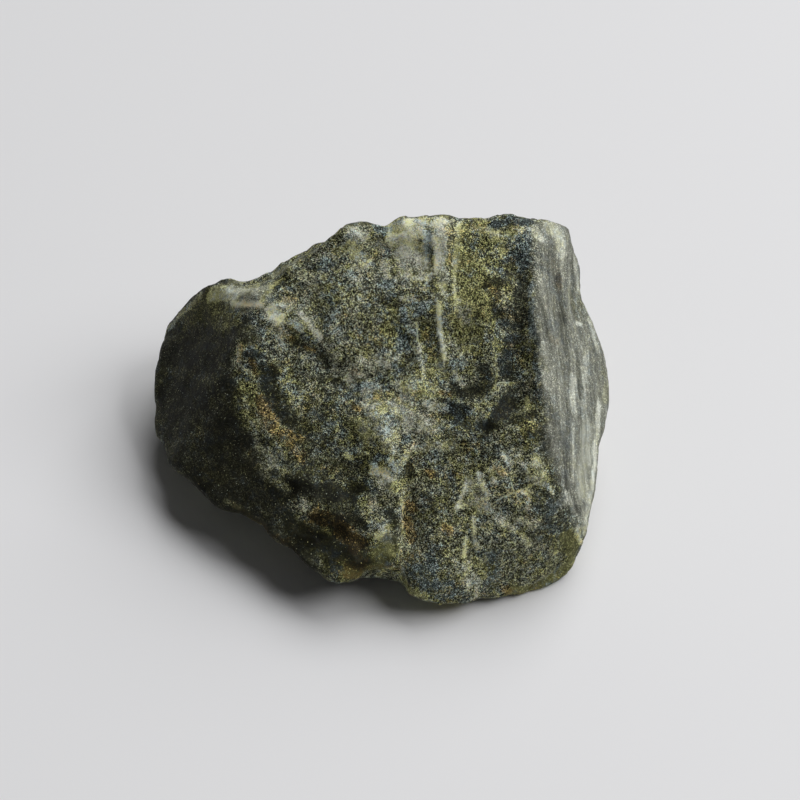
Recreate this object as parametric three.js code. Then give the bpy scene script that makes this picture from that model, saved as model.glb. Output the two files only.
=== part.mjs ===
// A rough sapphire: one broken, weathered piece of corundum about 32 mm long, lying on a natural parting
// plane. Millimetres, +Z up. The origin is on the resting face, below the middle of the stone.
import * as THREE from 'three';
import { ImprovedNoise } from 'three/addons/math/ImprovedNoise.js';
import { mergeVertices } from 'three/addons/utils/BufferGeometryUtils.js';

// ---- Driving dimensions ----

const HEART = new THREE.Vector3(0.5, 4, 6.5); // the point inside the stone that every face is measured from
const CREASE = 0.8; // how widely two faces round into each other
const RIM = 0.35; // how widely the rim of a scoop is rounded
const STEP_WIDTH = 0.15; // how gradually a ledge steps up
const LEDGE_TAPER = 1.5; // length over which a ledge dies out at each end
const SPREAD = new THREE.Vector3(16, 13, 9); // half sizes of the ball that the corners start from
const MESH_DETAIL = 21; // subdivisions of each icosahedron face, which set the triangle size
const FARTHEST = 30; // no surface lies farther than this from the heart
const EVEN_PASSES = 80; // rounds of evening out the triangles on the plain faces
const FIT_PASSES = 6; // rounds more, once the ledges and the relief are on
const RELAX_STEP = 0.5; // share of the way each corner moves towards its neighbours' middle
const PROBE = 0.02; // distance at which the slope of the surface is felt out
const LEAST_SLOPE = 0.5; // keeps a corner from jumping where the slope is small
const HALVINGS = 20; // how often the search along a ray halves its range
const LEVEL = 1e-3; // a corner this close to the resting plane lies on it
const CREASE_PULL = 3; // how much harder a corner is pulled towards neighbours that face another way

// The faces the stone broke along. facing is a compass angle from +X towards +Y, tilt is how far the face
// leans from looking straight up, both in degrees, and reach is its distance from the heart. A smooth face
// parted cleanly and carries less relief than the broken ones.
const FACES = [
  { name: 'front slope, left half', facing: -97, tilt: 29, reach: 6.1 },
  { name: 'front slope, middle', facing: -100, tilt: 33, reach: 5.1 },
  { name: 'front slope, lower right', facing: -84, tilt: 38, reach: 7.8 },
  { name: 'left wall', facing: -170, tilt: 53, reach: 11.3, smooth: true },
  { name: 'right wall', facing: -17, tilt: 58, reach: 12.6, smooth: true },
  { name: 'chin', facing: -132, tilt: 50, reach: 9.0, smooth: true },
  { name: 'crest', facing: 90, tilt: 12, reach: 11.7 },
  { name: 'back of the crest, left', facing: 111, tilt: 67, reach: 11.4 },
  { name: 'back of the crest', facing: 94, tilt: 66, reach: 10.6 },
  { name: 'back wall', facing: 84, tilt: 88, reach: 10.0 },
  { name: 'back right corner', facing: 43, tilt: 79, reach: 16.9 },
  { name: 'left shoulder', facing: 120, tilt: 69, reach: 13.8, smooth: true },
  { name: 'left back corner', facing: 143, tilt: 86, reach: 18.6 },
  { name: 'left foot', facing: -128, tilt: 140, reach: 11.2 },
  { name: 'chin undercut', facing: -128, tilt: 145, reach: 10.7 },
  { name: 'notch undercut', facing: -107, tilt: 150, reach: 11.0 },
  { name: 'front foot', facing: -74, tilt: 72, reach: 13.35, smooth: true },
  { name: 'front foot, right', facing: -47, tilt: 76, reach: 15.6, smooth: true },
  { name: 'right foot', facing: -25, tilt: 95, reach: 17.6 },
  { name: 'right undercut', facing: -4, tilt: 117, reach: 15.0 },
  { name: 'right undercut, low', facing: 25, tilt: 140, reach: 11.1 },
  { name: 'right back', facing: 24, tilt: 91, reach: 15.3 },
  { name: 'back foot', facing: 80, tilt: 138, reach: 8.9 },
  { name: 'left back foot', facing: 155, tilt: 132, reach: 14.3 },
];

// Places below are [x, y, z] in mm, and size is a lump's or groove's half width.
const LUMPS = [
  { name: 'lobe over the notch', from: [-4.2, -9.6, 3.2], to: [-2.1, -10.4, 3.2], size: 1.9, height: 0.5 },
  { name: 'chin lump', from: [-11.8, -3.4, 3.6], to: [-10.9, -4.2, 3.6], size: 1.8, height: 0.45 },
  { name: 'left shoulder lump', from: [-12.4, 11.5, 8.8], to: [-11.2, 11.3, 10.4], size: 2.0, height: 0.4 },
  { name: 'front foot lump', from: [4.4, -10.9, 1.4], to: [5.4, -11.0, 1.2], size: 1.6, height: 0.6 },
  { name: 'right foot lump', from: [13.8, -7.0, 1.2], to: [14.0, -6.8, 2.0], size: 1.4, height: 0.3 },
  { name: 'slanting rib', from: [-6.7, 6.2, 13.1], to: [-2.8, 2.6, 11.3], size: 1.0, height: 0.2 },
  { name: 'knob on the crest', from: [-3.4, 11.0, 16.2], to: [-2.2, 11.3, 16.4], size: 1.6, height: 0.5 },
  { name: 'pale hump', from: [-0.8, -1.6, 9.0], to: [1.0, -0.8, 9.6], size: 1.7, height: 0.3 },
  { name: 'top right corner', from: [12.6, 11.2, 14.6], to: [12.6, 11.2, 14.6], size: 2.2, height: 0.6 },
];
const GROOVES = [
  { name: 'trough by the ridge', from: [9.8, 7.6, 15.4], to: [9.3, -0.6, 10.8], size: 1.0, depth: 0.6 },
  { name: 'furrow under the rib', from: [-7.1, 4.4, 12.2], to: [-1.4, 0.6, 10.3], size: 0.9, depth: 0.3 },
  { name: 'furrow to the wedge', from: [-1.8, 0.8, 10.3], to: [1.4, 2.0, 11.4], size: 0.8, depth: 0.35 },
  { name: 'waist of the left edge', from: [-16.0, 2.4, 2.4], to: [-15.2, 1.2, 3.8], size: 1.3, depth: 0.4 },
  { name: 'dip under the chin', from: [-9.8, -5.2, 3.6], to: [-9.0, -5.8, 3.6], size: 1.3, depth: 0.35 },
  { name: 'dip in the crest', from: [6.9, 11.4, 17.0], to: [6.9, 9.6, 16.4], size: 1.4, depth: 0.4 },
  { name: 'waist of the right wall', from: [15.0, 9.4, 10.2], to: [14.4, 7.8, 10.8], size: 1.5, depth: 0.4 },
];
// A scoop is where a shell-shaped flake came away: at is its deepest point, and facing and tilt its axis.
const SCOOPS = [
  { name: 'scoop in the left shoulder', at: [-8.2, 8.9, 12.3], facing: 132, tilt: 40, radius: 6.0 },
  { name: 'scoop above it', at: [-5.9, 9.7, 14.0], facing: 125, tilt: 45, radius: 7.0 },
  { name: 'notch under the lobe', at: [0.3, -9.7, 3.75], facing: -100, tilt: 132, radius: 2.0 },
];
// Ledges are seen from above: the ground on the left of the path, walking along it, is higher by rise, and
// the step evens out over run on both sides.
const LEDGES = [
  { name: 'lobe edge', path: [[1.0, -11.0], [1.5, -8.1], [1.4, -4.5], [2.9, -2.4]], rise: 0.6, run: 2.5 },
  { name: 'tall slab', path: [[4.5, 1.6], [5.0, 5.5], [5.1, 9.4], [5.2, 12.0]], rise: 0.5, run: 2.0 },
  { name: 'wedge', path: [[3.2, 1.0], [2.7, 4.8]], rise: 0.25, run: 1.2 },
  { name: 'trough edge', path: [[6.3, -1.6], [7.1, -0.2], [8.0, 0.8], [8.1, 5.2]], rise: 0.55, run: 1.4 },
  { name: 'block side', path: [[10.4, -7.6], [9.2, -5.4], [8.3, -3.4]], rise: 0.35, run: 1.6 },
  { name: 'block front', path: [[11.4, -5.2], [7.4, -6.7]], rise: 0.3, run: 1.4 },
];
// Broken relief all over: each layer is ridged noise of one grain size, up to height at its crests. RIDGING
// sets how deep the hollows between the crests are.
const RIDGING = 5;
const RELIEF = [
  { size: 6.5, height: 0.22 },
  { size: 2.9, height: 0.12 },
];

const SMOOTH_SHARE = 0.35; // share of the relief that a smooth face keeps
const SMOOTH_BLEND = 1.2; // width over which the relief changes from one kind of face to the other

const noise = new ImprovedNoise();

function direction(facing, tilt) {
  const compass = THREE.MathUtils.degToRad(facing);
  const lean = THREE.MathUtils.degToRad(tilt);
  return new THREE.Vector3(
    Math.sin(lean) * Math.cos(compass),
    Math.sin(lean) * Math.sin(compass),
    Math.cos(lean),
  );
}

const PLANES = FACES.map(({ facing, tilt, reach, smooth = false }) => {
  const normal = direction(facing, tilt);
  return { normal, offset: normal.dot(HEART) + reach, smooth };
});
const BALLS = SCOOPS.map(({ at, facing, tilt, radius }) => ({
  centre: new THREE.Vector3(...at).addScaledVector(direction(facing, tilt), radius),
  radius,
}));
const strip = ({ from, to, size, height, depth }) => ({
  line: new THREE.Line3(new THREE.Vector3(...from), new THREE.Vector3(...to)),
  size,
  height: height ?? -depth,
});
const STRIPS = [...LUMPS, ...GROOVES].map(strip);
const STEPS = LEDGES.map(({ path, rise, run }) => {
  const corners = path.map(([x, y]) => new THREE.Vector2(x, y));
  let along = 0;
  const legs = corners.slice(1).map((end, i) => {
    const start = corners[i];
    const leg = { start, way: end.clone().sub(start), length: end.distanceTo(start), along };
    along += leg.length;
    return leg;
  });
  return { legs, length: along, rise, run };
});

function smoothMax(a, b, width) {
  const near = Math.max(width - Math.abs(a - b), 0) / width;
  return Math.max(a, b) + (near * near * width) / 4;
}

function stripHeight(p, { line, size, height }) {
  const nearest = line.closestPointToPoint(p, true, new THREE.Vector3());
  return height * Math.exp(-nearest.distanceToSquared(p) / (size * size));
}

function ledgeHeight(p, { legs, length, rise, run }) {
  let best = { gap: Infinity, along: 0, left: 0 };
  for (const { start, way, length: legLength, along } of legs) {
    const dx = p.x - start.x;
    const dy = p.y - start.y;
    const share = THREE.MathUtils.clamp((dx * way.x + dy * way.y) / (legLength * legLength), 0, 1);
    const gap = Math.hypot(dx - share * way.x, dy - share * way.y);
    if (gap < best.gap) {
      best = { gap, along: along + share * legLength, left: Math.sign(way.x * dy - way.y * dx) };
    }
  }
  const fromEnd = Math.min(best.along, length - best.along);
  const taper = THREE.MathUtils.smoothstep(fromEnd, 0, LEDGE_TAPER);
  const side = best.left * Math.tanh(best.gap / STEP_WIDTH);
  return (rise / 2) * side * Math.exp(-best.gap / run) * taper;
}

function relief(p) {
  let height = 0;
  for (const { size, height: layer } of RELIEF) {
    const value = noise.noise(p.x / size + size, p.y / size, p.z / size);
    height += layer * (1 - RIDGING * Math.abs(value));
  }
  return height;
}

// How far a point lies outside the plain faces, negative inside.
function outsideFaces(p) {
  let d = -FARTHEST;
  for (const { normal, offset } of PLANES) d = smoothMax(d, normal.dot(p) - offset, CREASE);
  return Math.max(d, -p.z);
}

// How far a point lies outside the finished stone, negative inside.
function outsideStone(p) {
  let d = -FARTHEST;
  let smoothest = -FARTHEST;
  let roughest = -FARTHEST;
  for (const { normal, offset, smooth } of PLANES) {
    const beyond = normal.dot(p) - offset;
    d = smoothMax(d, beyond, CREASE);
    if (smooth) smoothest = Math.max(smoothest, beyond);
    else roughest = Math.max(roughest, beyond);
  }
  for (const one of STRIPS) d -= stripHeight(p, one);
  for (const one of STEPS) d -= ledgeHeight(p, one);
  for (const { centre, radius } of BALLS) d = smoothMax(d, radius - centre.distanceTo(p), RIM);
  const kind = THREE.MathUtils.smoothstep(smoothest - roughest, -SMOOTH_BLEND, SMOOTH_BLEND);
  return Math.max(d - relief(p) * THREE.MathUtils.lerp(1, SMOOTH_SHARE, kind), -p.z);
}

// The point where a ray from the heart meets the plain faces.
function surfaceAlong(way) {
  let near = 0;
  let far = FARTHEST;
  const p = new THREE.Vector3();
  for (let i = 0; i < HALVINGS; i++) {
    const middle = (near + far) / 2;
    p.copy(way).multiplyScalar(middle).add(HEART);
    if (outsideFaces(p) < 0) near = middle;
    else far = middle;
  }
  return p;
}

// The direction in which a point leaves the stone fastest.
function outward(outside, p) {
  const probe = p.clone();
  const slope = ['x', 'y', 'z'].map((axis) => {
    probe[axis] = p[axis] + PROBE;
    const ahead = outside(probe);
    probe[axis] = p[axis] - PROBE;
    const behind = outside(probe);
    probe[axis] = p[axis];
    return (ahead - behind) / (2 * PROBE);
  });
  return new THREE.Vector3(...slope);
}

// Moves a point onto the surface and returns the direction it faces there.
function settle(outside, p) {
  let slope = outward(outside, p);
  for (let i = 0; i < 2; i++) {
    p.addScaledVector(slope, -outside(p) / Math.max(slope.lengthSq(), LEAST_SLOPE));
    slope = outward(outside, p);
  }
  return slope.normalize();
}

function neighbours(index, count) {
  const around = Array.from({ length: count }, () => new Set());
  for (let i = 0; i < index.length; i += 3) {
    const [a, b, c] = index.slice(i, i + 3);
    around[a].add(b).add(c);
    around[b].add(a).add(c);
    around[c].add(a).add(b);
  }
  return around.map((set) => [...set]);
}

// Slides the corners along a surface until the triangles are even, and closer together over a crease.
function evenOut(outside, corners, around, passes) {
  let facings = corners.map((corner) => settle(outside, corner));
  for (let pass = 0; pass < passes; pass++) {
    corners = corners.map((corner, i) => {
      const middle = new THREE.Vector3();
      let total = 0;
      for (const j of around[i]) {
        const pull = 1 + CREASE_PULL * (1 - facings[i].dot(facings[j]));
        middle.addScaledVector(corners[j], pull);
        total += pull;
      }
      return corner.clone().lerp(middle.divideScalar(total), RELAX_STEP);
    });
    facings = corners.map((corner) => settle(outside, corner));
  }
  return corners;
}

function stoneGeometry() {
  const ball = new THREE.IcosahedronGeometry(1, MESH_DETAIL);
  ball.deleteAttribute('normal');
  ball.deleteAttribute('uv');
  const geometry = mergeVertices(ball, 1e-4);
  const position = geometry.getAttribute('position');
  const around = neighbours([...geometry.index.array], position.count);
  let corners = [];
  for (let i = 0; i < position.count; i++) {
    const way = new THREE.Vector3().fromBufferAttribute(position, i).multiply(SPREAD).normalize();
    corners.push(surfaceAlong(way));
  }
  corners = evenOut(outsideFaces, corners, around, EVEN_PASSES);
  corners = evenOut(outsideStone, corners, around, FIT_PASSES);
  corners.forEach(({ x, y, z }, i) => position.setXYZ(i, x, y, z < LEVEL ? 0 : z));
  geometry.computeBoundingBox();
  const middle = geometry.boundingBox.getCenter(new THREE.Vector3());
  return geometry.translate(-middle.x, -middle.y, 0);
}

const sapphire = new THREE.Mesh(
  stoneGeometry(),
  new THREE.MeshStandardMaterial({ color: 0x4a5240, roughness: 0.7, metalness: 0 }),
);
sapphire.name = 'rough_sapphire';
const group = new THREE.Group();
group.add(sapphire);
export default group;
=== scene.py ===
"""A rough sapphire on a pale floor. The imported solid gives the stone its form. This script adds the fine
relief of its broken faces, their colours and finish, the floor, the lights and the camera."""

import math

import bpy
import numpy as np
from mathutils import Matrix, Vector, noise
from mathutils.bvhtree import BVHTree


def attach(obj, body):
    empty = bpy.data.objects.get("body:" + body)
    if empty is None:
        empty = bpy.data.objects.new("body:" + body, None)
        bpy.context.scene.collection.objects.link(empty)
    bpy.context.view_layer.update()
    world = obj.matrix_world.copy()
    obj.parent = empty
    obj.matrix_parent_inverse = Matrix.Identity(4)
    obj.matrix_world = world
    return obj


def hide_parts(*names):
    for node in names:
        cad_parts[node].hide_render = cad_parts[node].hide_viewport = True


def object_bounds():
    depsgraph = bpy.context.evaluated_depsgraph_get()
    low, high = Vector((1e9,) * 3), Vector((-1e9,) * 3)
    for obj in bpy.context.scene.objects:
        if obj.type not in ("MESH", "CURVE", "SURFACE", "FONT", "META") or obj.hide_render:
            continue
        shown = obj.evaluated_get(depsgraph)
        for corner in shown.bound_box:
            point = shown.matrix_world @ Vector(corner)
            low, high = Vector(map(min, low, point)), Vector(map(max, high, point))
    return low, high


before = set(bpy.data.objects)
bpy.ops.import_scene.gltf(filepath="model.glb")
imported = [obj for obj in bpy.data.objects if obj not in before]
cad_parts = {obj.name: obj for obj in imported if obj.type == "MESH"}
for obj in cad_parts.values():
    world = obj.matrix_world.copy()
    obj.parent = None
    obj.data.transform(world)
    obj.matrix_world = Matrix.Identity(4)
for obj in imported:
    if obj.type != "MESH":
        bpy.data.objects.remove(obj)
cad_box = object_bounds()

# Lengths are in mm and angles in degrees, except where a Blender setting takes metres.
MM = 0.001

# The view of the photograph, a square picture of IMAGE pixels. A path on the stone is written in these
# pixels as in an SVG polyline, "across,down across,down", and rays through them find it on the stone.
IMAGE = 800
MM_PER_PIXEL = 0.07
LENS = 120.0
SENSOR = 36.0
CAMERA_TILT = 50.0
AIM = np.array([1.42, -1.825, 10.0])
DISTANCE = MM_PER_PIXEL * IMAGE * LENS / SENSOR
BACK = np.array([0.0, -math.cos(math.radians(CAMERA_TILT)), math.sin(math.radians(CAMERA_TILT))])
RIGHT = np.array([1.0, 0.0, 0.0])
UP = np.cross(BACK, RIGHT)
EYE = AIM + BACK * DISTANCE

# The fine surface.
GRID = 0.173  # spacing of its points
RELAX_PASSES = 14
RELAX_SHARES = (0.55, -0.57)  # how far a pass moves a point towards the middle of its neighbours, and back
TRACK_STEP = 5  # pixels between the points of a line laid on the stone
GROUND_BAND = 0.25  # height above the floor over which the relief fades out

# Broken faces that have a finish of their own: facing is the compass direction from +X towards +Y, tilt is
# measured from straight up, and reach is the distance from HEART.
HEART = np.array([0.52, 2.175, 6.5])
FACE_SOFTNESS = 0.55
LEFT_WALL = (-170, 53, 11.3)
CHIN = (-132, 50, 9.0)
RIGHT_WALL = (-17, 58, 12.6)

# The flutes of the right wall: the path of one of them, how far to its sides they are counted, and how
# slowly they change along their length.
FLUTE = "541,232 549,300 560,360 567,420 568,470 576,512"
FLUTE_REACH = 9.0
FLUTE_STRETCH = 0.11

# The side that the photograph doesn't show sets in where the cosine between the normal and the view falls
# below -START / SLOPE.
HIDDEN_SLOPE = 2.5
HIDDEN_START = 0.25

# Broken relief. Waves are height, size and seed, and facets are size, lean and seed.
BROKEN_WAVES = ((0.05, 1.7, 1), (0.045, 0.8, 2), (0.035, 0.42, 3))
BROKEN_FACETS = (1.5, 0.06, 4)
RIB_WAVES = ((0.06, 0.8, 5), (0.03, 0.35, 6))
HIDDEN_WAVES = ((0.25, 3.6, 7),)
HIDDEN_FACETS = (3.2, 0.07, 8)
HIDDEN_SINK = 0.08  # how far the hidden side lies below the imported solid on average
LEFT_SMOOTHNESS = 0.5  # what the left wall and the chin leave out of the broken relief
RIGHT_SMOOTHNESS = 0.6  # what the right wall leaves out of it
SEED_STEP = 17.3  # how far the waves of one seed lie from those of the next
FACET_SEED_STEP = 11.9
FACET_SPREAD = 3.7  # spreads the facets out, so that neighbours draw leanings of their own

# Steps of the surface: path, rise, how sharply it falls, and how far the raised part runs back before it is
# level again. The higher side is the left one in the picture where the path runs down, and the right one
# where it runs up.
LEDGE_REACH = 5.0  # runs from a ledge to where it is left out
LEDGE_END = 0.4  # how soon a ledge fades past the ends of its path
LEDGES = {
    "left side of the slab": ("441,362 435,320 431,262 430,232", 0.20, 0.10, 0.9),
    "right side of the slab": ("450,240 451,264 453,292", 0.22, 0.10, 0.8),
    "sliver": ("461,228 462,258 457,297", 0.16, 0.08, 0.6),
    "wedge": ("416,318 419,345 424,374", 0.24, 0.10, 0.9),
    "trough edge": ("496,312 494,355 497,380 485,397 471,417", 0.34, 0.12, 1.0),
    "branch of the trough edge": ("516,384 498,381", 0.18, 0.08, 0.7),
    "lobe edge": ("420,436 409,456 402,490 402,535 399,556 394,574", 0.36, 0.10, 1.2),
    "block front": ("541,478 510,492 489,506", 0.20, 0.07, 0.7),
    "block side": ("502,452 508,472 516,491", 0.16, 0.07, 0.7),
    "low block": ("528,516 516,491", 0.16, 0.07, 0.7),
    "polished facet": ("571,412 573,470 581,506", 0.10, 0.10, 0.9),
}

# Raised lines (height above zero) and sunk ones (below zero): path, height, half width.
LINE_REACH = 3.0  # half widths from a line to where it is left out
LINES = {
    "furrow under the rib": ("288,330 312,350 330,368", -0.10, 0.35),
    "second furrow": ("345,388 372,377 400,366", -0.16, 0.36),
    "right ridge": ("534,262 536,320 543,400 555,450 578,508", 0.10, 0.35),
    "left shoulder": ("166,352 161,368 158,384", 0.35, 1.20),
    "head of the rib": ("266,320 284,326", 0.24, 0.60),
    "above the rib": ("268,299 286,300", -0.16, 0.50),
    "trough": ("516,262 520,300 517,345 509,378", -0.26, 0.70),
    "lower trough": ("520,402 498,428 470,446", -0.20, 0.55),
    "lip of the chin": ("230,506 262,525 290,550 325,575 355,586", 0.08, 0.25),
    "fold under the shoulder": ("166,330 198,334 228,341", -0.15, 0.50),
    "horn by the scoop": ("220,281 225,285", -0.22, 0.45),
    "back of the shoulder": ("204,293 210,290", 0.34, 0.55),
    "back of the scoop": ("232,281 246,279", 0.22, 0.60),
    "back of the brow": ("264,273 284,262 300,251", -0.26, 0.80),
    "right foot": ("534,592 548,584 562,575", -0.50, 0.60),
    "dark tooth": ("500,219 516,217", 0.22, 0.80),
    "corner of the wall": ("538,217 552,218 564,224", -0.26, 0.70),
    "rim of the scoop": ("226,302 245,308 262,306 272,296 280,283", 0.10, 0.18),
    "curved edge": ("566,496 577,509 587,526", 0.10, 0.20),
    "streak": ("474,513 476,552", 0.10, 0.16),
    "low streak": ("462,545 464,592", 0.08, 0.20),
    "low streak, right": ("482,548 483,590", 0.08, 0.22),
}

# Thin white lines along edges, partly chipping and partly painted highlights where the edges catch the
# light: path and half width.
LIT_CHIP_WIDTH = 0.05  # half width that the others are measured against
LIT_CHIP_RAGGED = 0.3  # how much the width changes along the line
LIT_CHIP_REACH = 1.0
LIT_CHIP_END = 2.0  # how fast a line narrows past the ends of its path
LIT_CHIP_FADE = (0.15, 0.25)  # distances between which the white fades out
LIT_CHIP_ALBEDO = 0.45
LIT_CHIPS = {
    "block front": ("489,506 503,497 520,490 534,484 547,478", 0.05),
    "block side": ("510,477 513,490 518,498 528,515", 0.05),
    "lobe edge": ("403,503 402,530 401,545 397,561", 0.05),
    "wedge": ("416,321 418,340 421,352", 0.05),
    "top of the panel": ("402,227 416,226 431,229", 0.05),
    "thread by the furrow": ("279,337 284,345 287,352", 0.045),
    "branch": ("514,383 499,382 494,388", 0.04),
    "facet": ("573,428 573,455 574,482", 0.04),
    "streak": ("473,515 474,546", 0.06),
}
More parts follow.
